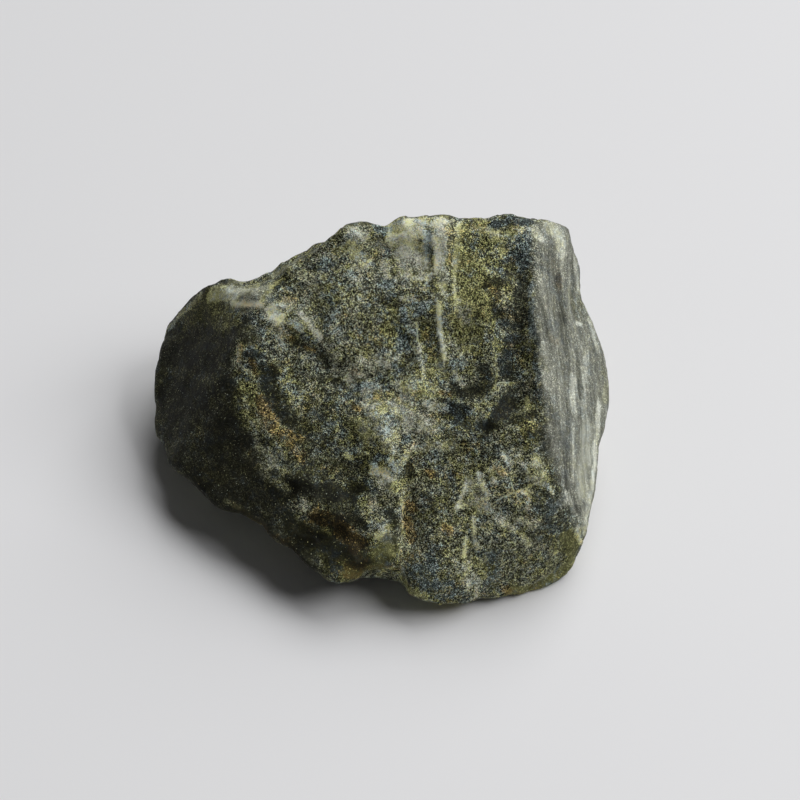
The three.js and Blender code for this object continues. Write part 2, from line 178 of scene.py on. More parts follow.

# Patches of colour, painted one over the other: path, half width, level and what else they change. Level
# is the brightness, speckle the strength of the grain, and olive, blue and rust are tints. The patches
# that set wall or left to 0 take their places out of the right wall or out of the left wall and chin.
# Many levels hold light and shade as well as the stone's own tone. Dark patches in hollows, in the
# troughs, under ledges and under the overhang are partly painted shade. Pale ones on raised tops and
# edges, some with levels above 1, are partly painted light. The olive and rust of the thin lips at the
# foot are partly painted light shining through the stone.
# The paths were read one by one. 203 of the levels began as the mean brightness of the photograph along
# their path, written here by a program. 85 of them are still as it wrote them.
PATCH_REACH = 3.0  # half widths from a patch, and MARGIN on top, to where it is left out
PATCH_MARGIN = 0.2
PATCH_EDGE = 7  # how sharply a patch ends
PATCHES = {
    # Partly painted shade: darkens the lower left of the front, which turns down to the left.
    "lower left of the front": ("296,400 312,450 336,500", 2.2, 0.34),
    "front beside the left wall": (
        "240,350 246,385 254,420 270,448", 0.6, 0.6, {"left": 0.0, "speckle": 1.0}
    ),
    "front beside the right wall": ("562,520 560,548", 0.9, 0.36, {"wall": 0.0, "speckle": 1.0}),
    "front above the curved edge": ("548,470 556,492", 0.5, 0.36, {"wall": 0.0, "speckle": 1.0}),
    "shoulder": ("186,322 206,304 226,322", 1.0, 0.36, {"olive": 0.9, "blue": 0.0, "left": 0.0}),
    "shoulder rim": ("166,332 180,314 200,296", 0.3, 0.68, {"olive": 0.7, "rust": 0.2}),
    "left rim": ("157,372 155,396 159,422", 0.35, 0.3, {"olive": 1.0}),
    "yellow of the shoulder": ("213,291 224,288 227,300", 0.42, 0.8, {"olive": 0.9}),
    "scoop floor": ("230,292 250,292 266,290", 0.62, 0.76, {"speckle": 0.5, "olive": 0.2}),
    "pale of the scoop": ("229,288 236,299", 0.3, 0.88, {"olive": 0.2, "speckle": 0.6}),
    "grey of the scoop": ("252,292 258,289", 0.28, 0.7, {"blue": 0.3}),
    # Partly painted light: a level above 1 lifts the rim of the scoop, which the relief leaves in shade,
    # over its own cream.
    "scoop rim": ("232,304 246,304 260,305", 0.28, 1.12, {"rust": 0.3, "speckle": 0.6}),
    "scoop rim, right": ("262,300 271,289 279,281", 0.16, 0.86, {"olive": 0.9}),
    "shade under the scoop": ("226,310 240,311 262,312", 0.24, 0.64, {"blue": 0.3}),
    "olive under the scoop": ("223,328 238,319", 0.3, 0.64, {"olive": 0.9}),
    "blue under the scoop": ("256,316 266,332", 0.45, 0.52, {"blue": 0.7}),
    "dark under the shoulder": ("232,338 254,340", 0.35, 0.34, {"blue": 0.2}),
    "brow": ("272,275 288,266 304,256", 0.45, 0.58, {"olive": 0.3, "speckle": 0.7}),
    "dark by the scoop": ("277,288 284,281", 0.25, 0.36, {"blue": 0.3}),
    # Painted light: a level above 1 lifts the head of the rib, which the relief leaves in half shade.
    "head of the rib": ("272,309 278,318", 0.55, 1.12, {"olive": 0.4}),
    "pink by the rib": ("286,299 294,301", 0.28, 0.76, {"rust": 0.3}),
    "pit in the rib": ("288,317 291,318", 0.14, 0.3, {"blue": 0.4}),
    "grey of the rib": ("292,322 303,327", 0.3, 0.88, {"blue": 0.6}),
    "rib": ("302,314 310,325 319,338", 0.26, 1.0, {"olive": 0.1}),
    "teal by the rib": ("304,333 314,341", 0.22, 0.48, {"blue": 0.8}),
    "furrow": ("286,333 298,344 316,352 326,364", 0.3, 0.28, {"rust": 0.3}),
    "furrow, low": ("328,366 336,378 350,389", 0.32, 0.26, {"rust": 0.2}),
    "rust in the furrow": ("307,348 314,350", 0.16, 0.28, {"rust": 1.0}),
    "pale by the furrow": ("276,334 284,348", 0.16, 0.76),
    "dark by the brow": ("302,259 306,252", 0.35, 0.4, {"rust": 0.2}),
    "teal by the brow": ("316,268 330,262", 0.34, 0.32, {"blue": 0.8}),
    "dark of the slope": ("308,284 314,289", 0.3, 0.62, {"blue": 0.4}),
    "dark of the slope, right": ("326,295 332,303", 0.34, 0.4, {"blue": 0.7}),
    "dark of the slope, low": ("350,327 358,336", 0.34, 0.54, {"blue": 0.6}),
    "yellow spot": ("352,244 366,262", 0.5, 0.84, {"olive": 0.8}),
    "pale spot": ("357,258 360,264", 0.16, 0.84),
    "tan corner": ("240,345 239,360", 0.26, 0.76, {"rust": 0.5}),
    "teal by the rust": ("249,353 260,355", 0.34, 0.3, {"blue": 0.8}),
    "rust, top": ("252,362 259,376", 0.28, 0.34, {"rust": 0.75}),
    "black by the rust": ("264,369 266,389", 0.36, 0.24, {"rust": 0.1, "blue": 0.3}),
    "dark by the rust": ("272,368 280,384", 0.42, 0.18, {"rust": 0.3}),
    "green spot": ("287,367 289,374", 0.2, 0.7, {"olive": 1.0}),
    "frost of the slope": ("286,382 300,396", 0.55, 0.62, {"blue": 0.6}),
    "olive by the rust": ("244,386 254,402", 0.4, 0.5, {"olive": 0.8}),
    "rust, middle": ("260,398 264,410 277,420", 0.4, 0.42, {"rust": 0.75}),
    "dark along the rust": ("270,396 280,408 290,424", 0.45, 0.2, {"rust": 0.1}),
    "rust, low": ("273,429 286,433 302,438", 0.34, 0.36, {"rust": 0.75}),
    "yellow by the rust": ("280,427 285,430", 0.18, 0.58, {"olive": 0.9}),
    "dark under the rust": ("262,438 276,444", 0.34, 0.32, {"blue": 0.2}),
    "rust, foot": ("290,446 304,458", 0.42, 0.4, {"rust": 0.7}),
    "cream in the rust": ("295,451 299,454", 0.16, 0.46, {"rust": 0.2}),
    "dark arc": ("314,408 324,402 334,404", 0.26, 0.46, {"blue": 0.5}),
    "dark arc, right": ("338,426 348,436", 0.34, 0.44, {"blue": 0.4}),
    "frost by the arc": ("312,418 330,432", 0.4, 0.42, {"blue": 0.4}),
    "peach spot": ("355,372 361,375", 0.24, 0.88, {"rust": 0.4}),
    "pale by the peach": ("346,378 354,384", 0.3, 0.88, {"olive": 0.3}),
    "second furrow": ("348,397 362,385 380,378", 0.28, 0.4, {"blue": 0.9}),
    "second furrow, right": ("386,384 394,374 400,367", 0.3, 0.44, {"blue": 0.8}),
    "rust spot, left": ("354,406 359,409", 0.22, 0.38, {"rust": 0.8}),
    "pale middle": ("370,392 376,414 388,436", 0.8, 0.8, {"olive": 0.2}),
    "pale middle, right": ("396,404 412,420 430,426", 0.6, 0.82, {"olive": 0.3}),
    "brown in the middle": ("376,394 381,400", 0.28, 0.64, {"olive": 0.8, "rust": 0.4}),
    "dark, lower middle": ("344,452 356,464 374,464", 0.35, 0.36, {"blue": 0.4}),
    "yellow, lower middle": ("346,455 351,458", 0.2, 0.86, {"olive": 0.8}),
    "blue spot": ("379,456 387,459", 0.24, 0.4, {"blue": 1.0}),
    "blue spot, right": ("403,443 410,438", 0.26, 0.5, {"blue": 0.9}),
    "left frost": ("266,464 280,460 290,478", 0.45, 0.76),
    "left frost, right": ("284,462 300,470", 0.45, 0.4),
    "cream dot": ("314,463 317,464", 0.15, 0.66),
    "ochre of the slope": ("322,466 334,470", 0.26, 0.32, {"rust": 0.6}),
    # Partly painted shade: the dark, brown and black patches of the foot below lie on faces that turn down
    # under the overhang.
    "dark foot": ("276,492 300,484 328,490 356,496", 0.85, 0.17, {"blue": 0.2}),
    "dark foot, low": ("280,510 290,516", 0.45, 0.22, {"olive": 0.4}),
    "frost of the foot": ("332,474 344,484", 0.28, 0.38),
    "frost of the foot, left": ("314,479 322,481", 0.22, 0.36),
    "cream spot": ("303,503 304,508", 0.24, 0.76, {"olive": 0.4}),
    "tan spot": ("312,511 317,508", 0.2, 0.4, {"rust": 0.4}),
    "brown foot": ("316,517 342,522", 0.48, 0.2, {"rust": 0.8}),
    "dark, low": ("350,518 362,524", 0.45, 0.2, {"rust": 0.2}),
    "red foot": ("338,532 362,544", 0.55, 0.2, {"rust": 0.7}),
    "olive foot": ("322,548 336,566", 0.6, 0.24, {"olive": 0.8, "speckle": 0.6}),
    "black foot": ("300,536 308,552", 0.6, 0.18, {"speckle": 0.6}),
    "ochre of the foot": ("350,549 355,553", 0.2, 0.4, {"rust": 0.7}),
    # Partly painted light: the olive and rust of the lobe and its lip stand for light shining through the
    # thin stone, over its own colour.
    "lobe": ("352,572 366,568 380,564", 0.75, 0.44, {"speckle": 0.3, "rust": 0.6, "olive": 1.2}),
    "lobe, upper": ("378,550 392,552", 0.5, 0.52, {"speckle": 0.3, "olive": 1.2}),
    "smooth facet": ("384,538 394,540", 0.42, 0.52, {"speckle": 0.4, "olive": 0.2}),
    "lip of the lobe": ("374,577 384,570 396,566", 0.12, 0.76, {"olive": 0.8}),
    "cream by the facet": ("377,536 389,526", 0.24, 0.94, {"olive": 0.6}),
    "cream column": ("362,498 366,512 376,524", 0.4, 0.56, {"olive": 0.5}),
    "ochre column": ("372,502 377,508", 0.3, 0.62, {"rust": 0.6}),
    "lilac by the edge": ("391,512 394,524", 0.32, 0.26, {"blue": 0.3, "speckle": 0.6}),
    "yellow blob": ("394,488 404,484 406,492", 0.42, 0.68, {"olive": 0.9, "rust": 0.2}),
    "yellow blob, foot": ("402,500 403,505", 0.24, 0.9, {"olive": 0.7, "rust": 0.2}),
    "cream, lower middle": ("374,470 386,473", 0.36, 1.1, {"rust": 0.3}),
    "grey by the cream": ("382,482 392,479", 0.36, 0.86, {"blue": 0.2}),
    "teal by the cream": ("366,482 374,488", 0.3, 0.38, {"blue": 0.8}),
    "pale edge of the lobe": ("415,446 406,457 397,470", 0.24, 0.76),
    # Partly painted light: the rust and olive of the lip of the chin stand for light shining through its
    # thin edge.
    "lip of the chin": ("236,508 262,524 290,548 318,574", 0.3, 0.22, {"rust": 0.4, "speckle": 0.2}),
    "olive of the lip": ("226,502 238,507", 0.25, 0.36, {"olive": 0.8}),
    "olive of the wall": ("206,474 222,480", 0.5, 0.24, {"olive": 0.9}),
    "blue nick": ("376,229 386,232", 0.42, 0.44, {"blue": 1.0}),
    "dark under the nick": ("377,245 384,247", 0.35, 0.76, {"blue": 0.4}),
    "cream by the nick": ("393,227 392,242", 0.44, 1.16, {"rust": 0.1}),
    "pale crest": ("400,224 420,222 444,221", 0.42, 1.06, {"rust": 0.05}),
    "nick in the crest": ("426,218 431,220", 0.18, 0.7, {"blue": 0.4}),
    "panel": ("404,238 410,262 420,278", 0.9, 1.06, {"blue": 0.1}),
    "frost of the panel": ("400,262 424,272", 0.45, 0.74, {"blue": 0.1}),
    "lilac of the panel": ("386,284 394,292", 0.35, 0.62, {"blue": 0.6}),
    "green of the panel": ("402,298 414,300", 0.22, 0.9, {"olive": 0.3}),
    "dark by the panel": ("381,296 390,308", 0.32, 0.3, {"olive": 0.3}),
    "olive of the slope": ("388,312 392,342", 0.5, 0.52, {"olive": 0.9}),
    # Painted shade: the hollow beside the slab, in the shadow of the slab, in blue.
    "dark beside the slab": ("426,236 429,256", 0.36, 0.7, {"blue": 1.0}),
    "slab": ("442,228 441,262 440,296", 0.45, 0.98, {"olive": 0.2, "speckle": 0.8}),
    "left streak of the slab": ("436,240 436,272", 0.12, 1.1),
    "crack": ("449,242 450,264", 0.14, 0.64, {"rust": 0.5}),
    "slab edge": ("438,306 440,332 444,358", 0.22, 1.04, {"speckle": 0.6, "blue": 0.2}),
    "sliver": ("459,224 457,262", 0.22, 1.02, {"speckle": 0.6, "blue": 0.2}),
    "sliver, low": ("456,262 454,297", 0.12, 1.06, {"speckle": 0.6}),
    "line by the sliver": ("452,240 452,288", 0.07, 0.64),
    "olive field": ("474,236 476,280 470,330", 1.3, 0.56, {"olive": 0.9, "blue": 0.0}),
    "brown of the field": ("472,226 484,228", 0.4, 0.66, {"olive": 0.4, "rust": 0.3}),
    "teal of the field": ("475,246 484,250", 0.4, 0.42, {"blue": 0.4}),
    "cream by the curl": ("490,230 497,236", 0.26, 1.0),
    "yellow curl": ("512,233 503,240 501,248 503,259", 0.28, 0.76, {"olive": 1.0}),
    "blue crest": ("494,224 512,220 530,222", 0.42, 0.3, {"blue": 1.0}),
    "dots by the curl": ("515,238 521,229", 0.2, 0.96),
    "teal shade": ("524,240 520,254 522,266", 0.55, 0.46, {"blue": 1.0, "olive": 0.0}),
    "dark olive": ("490,286 506,283 520,286", 0.55, 0.28, {"olive": 0.6}),
    "tan by the trough": ("490,286 497,296", 0.32, 0.32, {"rust": 0.6}),
    # Partly painted shade: the deep side of the trough, over its own dark blue.
    "trough": ("520,286 519,306 517,326", 0.5, 0.3, {"blue": 0.5, "olive": 0.0}),
    "trough, low": ("514,340 509,356 507,374", 0.55, 0.28, {"blue": 0.5, "olive": 0.0}),
    "teal edge of the trough": ("530,284 531,312 533,336", 0.3, 0.56, {"blue": 1.0}),
    "teal edge, low": ("536,346 537,372 538,402", 0.3, 0.44, {"blue": 0.9}),
    "pale by the trough": ("503,290 505,300", 0.2, 0.6, {"olive": 0.3}),
    "thread by the trough": ("504,302 504,318", 0.08, 0.7),
    "grey by the trough": ("492,304 496,316", 0.3, 0.28, {"blue": 0.3}),
    "lit edge": ("493,322 494,336", 0.2, 0.44, {"olive": 0.8}),
    "lit edge, wide": ("500,338 495,350", 0.34, 0.5, {"olive": 0.8}),
    "lit edge, middle": ("494,352 497,370 496,384", 0.18, 0.64, {"olive": 0.8}),
    "lit edge, low": ("495,386 485,398 472,414", 0.24, 0.64, {"olive": 0.6}),
    "branch": ("500,384 513,384", 0.13, 0.6, {"olive": 0.9}),
    "dark by the lit edge": ("482,368 490,376", 0.36, 0.34, {"blue": 0.3}),
    "dark field": ("460,386 474,392 486,386", 0.6, 0.2, {"olive": 0.3}),
    "dark field, left": ("446,408 462,412", 0.5, 0.26, {"blue": 0.7}),
    # Partly painted shade: the dark below the trough edge, where the trough casts its shade.
    "dark of the trough": ("512,396 500,416 484,430", 0.6, 0.2, {"blue": 0.5}),
    "dark of the trough, low": ("462,446 478,456 494,452", 0.5, 0.38, {"blue": 0.5}),
    "dark by the wall": ("528,380 522,396", 0.4, 0.5, {"blue": 0.3}),
    "olive by the wall": ("522,424 532,436", 0.5, 0.4, {"olive": 0.8}),
    "dark by the wall, low": ("542,424 548,452", 0.45, 0.36, {"rust": 0.1}),
    "pale oval": ("527,398 527,409", 0.14, 0.94, {"olive": 0.9}),
    "pale button": ("532,420 535,422", 0.15, 0.72),
    "teal of the field, low": ("452,362 464,368", 0.35, 0.66, {"blue": 0.7}),
    "cream of the field": ("432,372 446,376", 0.26, 0.7, {"olive": 0.5}),
    "dark, middle": ("438,386 442,390", 0.3, 0.4, {"olive": 0.6}),
    "rust spot": ("442,392 448,394", 0.24, 0.5, {"rust": 0.9}),
    # Partly painted shade: the pocket in the shadow of the slab, over its own brown.
    "brown pocket": ("424,328 431,344 432,360", 0.4, 0.5, {"rust": 0.4, "olive": 0.8}),
    "wedge": ("419,346 422,362 424,376", 0.22, 0.78, {"olive": 0.2}),
    "blue patch": ("404,312 426,306", 0.45, 0.6, {"blue": 0.8}),
    "blue patch, low": ("402,326 403,350", 0.42, 0.48, {"blue": 0.9}),
    "frost between": ("408,328 413,334", 0.2, 0.78, {"blue": 0.5}),
    "pale dot, left": ("394,354 396,358", 0.2, 1.1, {"blue": 0.4}),
    "olive middle": ("410,384 430,392", 0.6, 0.72, {"olive": 0.7}),
    "white dot": ("431,408 433,408", 0.15, 1.16, {"speckle": 0.4}),
    "dark by the lobe": ("407,466 412,478", 0.32, 0.26, {"rust": 0.3}),
    "dark by the edge": ("410,490 412,480", 0.2, 0.56, {"olive": 0.5}),
    "ochre, left": ("409,504 414,510", 0.3, 0.64, {"rust": 0.8}),
    "rust, left foot": ("408,522 412,540", 0.42, 0.44, {"rust": 1.0}),
    "ochre, middle": ("426,471 432,475", 0.26, 0.54, {"rust": 0.9}),
    "dark by the ochre": ("420,466 422,478", 0.22, 0.48),
    "brown, middle": ("428,498 436,510", 0.45, 0.32, {"rust": 0.4}),
    "ochre, low": ("444,527 451,532", 0.3, 0.58, {"rust": 0.9}),
    "pale stroke": ("466,487 461,497 457,508", 0.15, 1.1, {"blue": 0.2}),
    "pale by the block": ("479,474 484,490 487,498", 0.18, 1.06),
    "ochre, upper": ("496,468 505,474", 0.26, 0.78, {"rust": 0.6}),
    "pale corner": ("503,454 511,465", 0.2, 0.92),
    "pale arch": ("512,450 524,447 534,452", 0.12, 0.64),
    "dark in the arch": ("516,455 524,453", 0.22, 0.66, {"olive": 0.4}),
    # Partly painted shade: a cell in the shadow of the step of the block.
    "dark cell": ("514,470 520,480", 0.32, 0.5, {"blue": 0.3}),
    "pale green streak": ("524,464 529,478", 0.15, 1.12, {"blue": 0.5}),
    "pale of the block": ("536,460 545,478", 0.28, 0.9),
    "pale triangle": ("525,491 530,492 528,508", 0.26, 0.98, {"rust": 0.4}),
    # Painted shade: a cell in the shadow of the step of the block.
    "dark cell, low": ("504,503 517,509", 0.4, 0.46, {"blue": 0.3}),
    "cream of the block": ("498,514 505,524 513,528", 0.28, 0.8, {"olive": 0.2}),
    "grey of the block": ("522,520 534,524", 0.32, 0.72, {"blue": 0.2}),
    "cream, low": ("523,536 529,545", 0.24, 0.8, {"olive": 0.4}),
    "dark right": ("541,500 552,514 546,536", 0.8, 0.36, {"blue": 0.4}),
    "dark right, low": ("519,558 522,580", 0.3, 0.46, {"blue": 0.4}),
    "pale ridge": ("547,481 552,492", 0.15, 0.98, {"olive": 0.4}),
    "streak": ("473,516 474,534 477,549", 0.15, 0.9, {"blue": 0.1}),
    "green streak": ("466,540 464,556", 0.16, 1.04, {"olive": 0.6}),
    "low streak, left": ("455,558 458,573", 0.16, 0.68, {"olive": 0.3}),
    "low streak": ("464,562 463,586", 0.14, 0.74),
    "low streak, middle": ("470,562 469,586", 0.17, 0.9),
    "low streak, right": ("482,560 484,580", 0.22, 0.6, {"olive": 0.3}),
    "low streak, foot": ("477,586 477,602", 0.18, 0.8),
    "dark low band": ("490,554 492,592", 0.5, 0.44, {"blue": 0.4, "speckle": 0.7}),
    "dark by the streaks": ("478,552 490,556", 0.3, 0.46, {"blue": 0.6}),
    "blue foot": ("412,566 426,580 446,592", 0.85, 0.42, {"blue": 0.7, "olive": 0.2, "speckle": 0.8}),
    "blue of the foot": ("428,560 434,566", 0.35, 0.4, {"blue": 1.0}),
    # Partly painted light: the olive of the rims along the foot stands for light shining through the thin
    # edge.
    "foot rim": ("398,574 410,590 428,601", 0.25, 0.7, {"olive": 0.8}),
    "green corner": ("566,536 574,552", 0.6, 0.4, {"olive": 1.1, "blue": 0.0, "speckle": 0.5}),
    "streak of the corner": ("541,552 542,560", 0.14, 0.68, {"olive": 0.8}),
    "streak of the corner, right": ("555,552 556,560", 0.14, 0.74, {"olive": 0.8}),
    # Partly painted light: the olive and rust of this rim stand for light shining through the thin edge.
    "brown foot, right": (
        "512,592 530,590 550,580 572,562", 0.45, 0.5, {"speckle": 0.4, "rust": 0.3, "olive": 1.0}
    ),
    "rust of the foot": ("504,589 510,592", 0.28, 0.5, {"rust": 0.8}),
    "small oval": ("543,577 547,577", 0.14, 0.66),
    "inner strip of the wall": ("536,240 538,290 540,330", 0.3, 0.54, {"blue": 0.2}),
    "cream on the wall": ("548,226 560,236 562,254", 0.5, 0.74, {"olive": 0.5}),
    "tan on the wall": ("553,262 560,284", 0.4, 0.54, {"rust": 0.3}),
    "tan ridge of the wall": ("542,274 546,308", 0.2, 0.64, {"rust": 0.3}),
    "blue band of the wall": ("559,278 564,318", 0.45, 0.34, {"blue": 0.6}),
    "outer strip of the wall": ("574,256 578,290", 0.3, 0.72),
    "brown edge of the wall": ("577,294 582,312", 0.22, 0.5, {"rust": 0.4}),
    "ochre on the wall": ("550,337 560,343", 0.36, 0.54, {"rust": 0.5}),
    "white dot of the wall": ("577,323 580,324", 0.17, 0.9),
    "dark of the wall": ("572,338 573,370", 0.4, 0.56, {"blue": 0.3}),
    "lilac of the wall": ("548,352 556,400", 0.8, 0.6, {"blue": 0.3}),
    "pale streak of the wall": ("586,352 584,400", 0.35, 0.68),
    "yellow rim": ("603,370 607,384 605,400", 0.32, 0.56, {"olive": 1.0}),
    "pale edge of the wall": ("599,404 598,430 594,456", 0.35, 0.78),
    "dark strip of the wall": ("564,436 567,486", 0.4, 0.38, {"blue": 0.4}),
    "left strip of the wall": ("549,410 556,450", 0.4, 0.54, {"blue": 0.2}),
    "polished facet": ("586,430 583,490", 0.75, 0.66, {"speckle": 0.1, "blue": 0.2}),
    "facet edge": ("573,424 573,480", 0.14, 0.7),
    "curved edge": ("566,492 572,508 582,522 584,534", 0.17, 0.72, {"speckle": 0.4}),
    "top of the yellow spot": ("352,230 364,238", 0.4, 0.92, {"olive": 0.5}),
    "band by the peach": ("350,371 366,362 382,354", 0.36, 0.66, {"olive": 0.4}),
    "pale by the blue spot": ("386,446 393,452", 0.32, 0.8),
    "pale rise": ("408,392 410,412 408,432", 0.28, 0.84),
    "pale below the middle": ("421,449 436,445 454,446", 0.32, 0.74),
    "cream at the top of the wall": ("532,228 540,238", 0.34, 0.8),
    "frost left of the block": ("468,480 474,498 486,508", 0.4, 0.84),
    "pale foot of the wall": ("588,482 588,505 585,530", 0.32, 0.74, {"speckle": 0.3}),
    "pale below the dark of the wall": ("572,378 574,410", 0.4, 0.74),
    "left edge": ("160,338 156,368", 0.4, 0.3, {"olive": 0.6}),
    # Partly painted shade under the overhang of the chin.
    "under the foot": ("290,526 330,546 362,562", 0.7, 0.16, {"speckle": 0.5, "olive": 0.6}),
    "top of the panel": ("418,231 436,243", 0.36, 1.04),
    "fold under the shoulder": ("164,334 198,337 228,343", 0.4, 0.22, {"olive": 0.5}),
    "pale left of the panel": ("384,262 386,276", 0.3, 0.94, {"blue": 0.2}),
    "grey by the ochre": ("418,494 424,506", 0.28, 0.6),
    "pale right of the middle": ("426,404 446,408", 0.28, 0.8),
    "pale middle, left": ("358,424 368,436", 0.38, 0.8),
    "pale right of the slab": ("458,302 466,322", 0.38, 0.74, {"olive": 0.5}),
    "outer edge of the wall": ("590,322 598,350", 0.28, 0.76),
    "dark of the slope, middle": ("376,330 384,340", 0.3, 0.4, {"blue": 0.4}),
    "olive field, low": ("474,318 478,350", 0.55, 0.44, {"olive": 0.8}),
    "dark field, low": ("456,422 478,430", 0.36, 0.3, {"blue": 0.5}),
    "dark of the middle, low": ("444,484 446,506", 0.28, 0.36),
    "shade under the panel": ("408,283 430,285 442,276", 0.32, 0.56, {"blue": 0.3}),
    "dark under the curl": ("492,266 508,268", 0.36, 0.38, {"olive": 0.7}),
    "dark left of the furrow": ("274,352 280,364", 0.26, 0.36),
    "dark by the left frost": ("261,456 264,464", 0.24, 0.38),
    "dark under the peach": ("340,392 362,398", 0.28, 0.42, {"blue": 0.4}),
    "dark of the lobe edge": ("396,536 396,550", 0.22, 0.32),
    "pale left corner of the block": ("489,470 494,482", 0.24, 0.9),
    "frost below the stroke": ("462,504 486,512", 0.26, 0.8),
    "pale of the slope": ("356,270 360,292 352,312", 0.38, 0.66, {"olive": 0.4}),
    "pale under the crest": ("326,258 344,250", 0.34, 0.66, {"olive": 0.4}),
    "slope by the furrow": ("330,320 338,344", 0.42, 0.6),
    "head of the pale rise": ("398,384 406,394", 0.28, 0.84),
    "frost of the slope, low": ("293,403 300,412", 0.28, 0.66),
    "edge of the front": ("237,395 241,425", 0.34, 0.32, {"left": 0.0, "speckle": 1.0}),
    "scoop, left": ("210,298 226,296", 0.36, 0.84, {"left": 0.0, "olive": 0.5, "speckle": 0.4}),
    "left edge of the trough": ("509,262 511,290", 0.4, 0.34),
    "dark of the trough, upper": ("501,312 508,328", 0.3, 0.32),
    "dark under the trough": ("500,424 534,415", 0.28, 0.28),
    "pale left of the furrow": ("267,330 288,334", 0.28, 0.7),
    "frost right of the rust": ("309,374 318,400", 0.34, 0.6),
    "streak under the crest": ("424,246 427,268", 0.22, 0.86, {"speckle": 0.6}),
    "pale of the field": ("469,302 471,324", 0.24, 0.72, {"olive": 0.7}),
    "pale spot of the trough": ("529,332 529,352", 0.26, 0.66),
    "right rim": ("577,528 581,542", 0.26, 0.8, {"speckle": 0.4}),
    "pale on the block": ("530,478 544,484", 0.26, 0.9),
    "frost of the right foot": ("464,570 478,582", 0.34, 0.72),
    "speck by the lobe": ("402,568 406,580", 0.28, 0.66),
    "frost of the slope, upper": ("330,346 336,372", 0.34, 0.62, {"olive": 0.4}),
    "shoulder, inner": ("216,316 236,320", 0.46, 0.42, {"left": 0.0, "olive": 0.8, "speckle": 0.8}),
    "pale shoulder of the peach": ("376,358 388,366", 0.26, 0.8),
    "pale by the field": ("455,374 463,384", 0.3, 0.74),
    "frost of the wall, low": ("582,404 586,424", 0.34, 0.66),
    "edge of the wall, low": ("595,462 591,496", 0.26, 0.78, {"speckle": 0.1}),
    "speck of the middle": ("390,460 396,470", 0.22, 0.94),
    "frost under the rust": ("276,446 284,458", 0.26, 0.7),
    "dark right of the frost": ("304,470 318,462", 0.3, 0.26),
    "dark of the left corner": ("236,372 248,378", 0.28, 0.34, {"olive": 0.6}),
    "yellow of the field": ("492,240 503,242", 0.28, 0.76, {"olive": 1.0}),
    "dark beside the left wall": ("250,398 254,418", 0.22, 0.3),
    "pale of the left corner": ("256,440 259,450", 0.24, 0.6),
    "frost of the left corner": ("262,472 288,490", 0.3, 0.44),
    "shade beside the scoop": ("257,284 267,294", 0.28, 0.6, {"speckle": 0.6}),
    "shade of the panel's foot": ("434,288 442,298", 0.3, 0.48),
    "pale tip by the rib": ("282,304 290,309", 0.24, 0.94),
    "frost under the brow": ("313,286 322,296", 0.3, 0.66),
    "inner edge of the wall": ("551,412 556,440", 0.34, 0.42),
    "pale of the hollow": ("526,391 542,396", 0.28, 0.5),
    "dark left of the peach": ("386,352 400,355", 0.28, 0.5),
    "pale right of the peach": ("411,394 416,404", 0.24, 0.8),
    "pale over the field": ("438,362 444,372", 0.24, 0.78),
}

# The finish of the front, and of the broken faces named above.
FINISHES = {
    "front": {"level": 0.48, "speckle": 1.0, "olive": 0.35, "blue": 0.25, "rust": 0.05},
    "left wall": {"level": 0.22, "speckle": 0.8, "olive": 0.3, "blue": 0.25, "rust": -0.1},
    "chin": {"level": 0.21, "speckle": 0.7, "olive": 0.35, "blue": 0.2, "rust": 0.1},
    "right wall": {"level": 0.495, "speckle": 0.35, "olive": 0.1, "blue": 0.35, "rust": -0.1},
}

# Random changes of the finish: what changes, how much, and the size and seed of its waves.
DRIFTS = (
    ("level", 0.06, 1.0, 31),
    ("level", 0.04, 2.6, 32),
    ("olive", 0.4, 2.3, 33),
    ("blue", 0.4, 1.9, 34),
    ("rust", 0.5, 1.6, 35),
)
HIDDEN_LEVELS = (("level", 0.5, 3.4, 36), ("level", 0.45, 1.3, 37))
HIDDEN_TINTS = (("olive", 1.0, 4.2, 38), ("blue", 1.0, 3.1, 39), ("rust", 0.8, 2.4, 40))

# How far the edges of patches wander. Patches narrower than WANDER_WIDTH wander less, the right wall only
# by its share, and the ledges and lines by theirs.
WANDER = 0.26
WANDER_SIZE = 0.9
WANDER_FINE = (0.6, 2.7)  # the fine wandering: its share, and how much smaller its lumps are
FINISH_SEED = 21
RELIEF_SEED = 41
WANDER_WIDTH = 0.6
WALL_WANDER = 0.5
RELIEF_WANDER = 0.3

# The frosted finish: widths of the grains and of their clumps, then noises as size, detail and roughness.
GRAIN = 0.05
CLUMP = 0.17
RAGGED = (0.45, 3, 0.85)
DRIFTING = (0.7, 3, 0.8)
BLOTCHED = (0.8, 3, 0.75)
STREAKED = (0.22, 4, 0.8)
BANDED = (0.9, 2, 0.6)
DARKEST = 0.06  # limits of the brightness
BRIGHTEST = 1.15
GAMMA = 2.2
WHITEST = 0.85  # albedo that nothing goes over
FROST_POWER = 5.0  # the higher, the fewer grains are pale
FROST_GAIN = 9.1  # 1 / the mean of the powers
SPARKLING = 0.484  # random number, out of -0.5 to 0.5, above which a grain sparkles
SPARKLE = 0.6
ROUGHNESS = 0.6
SAPPHIRE_IOR = 1.76
SAPPHIRE_SPECULAR = 0.06
BUMP_DEPTH = 0.08

# Hues, which the brightness scales.
DARK_STONE = (0.93, 1.0, 0.52)
PALE_STONE = (0.98, 1.0, 0.83)
OLIVE = (1.0, 1.0, 0.34)
BLUE = (0.74, 1.0, 1.04)
RUST = (1.42, 1.0, 0.30)
# The grey of the right wall is partly its frosting and partly a painted sheen of the light it faces.
WALL_GREY_AND_SHEEN = (0.98, 1.0, 0.90)
LEFT_GREY = (0.99, 1.0, 0.82)
WHITE = (1.0, 1.0, 1.0)

PALE_FLOOR = (0.80, 0.80, 0.812)
FLOOR_SIZE = 1200.0
FLOOR_ROUGHNESS = 0.9
FLOOR_SPECULAR = 0.2
GLOW = 0.05
CLIP_START = 0.01  # metres


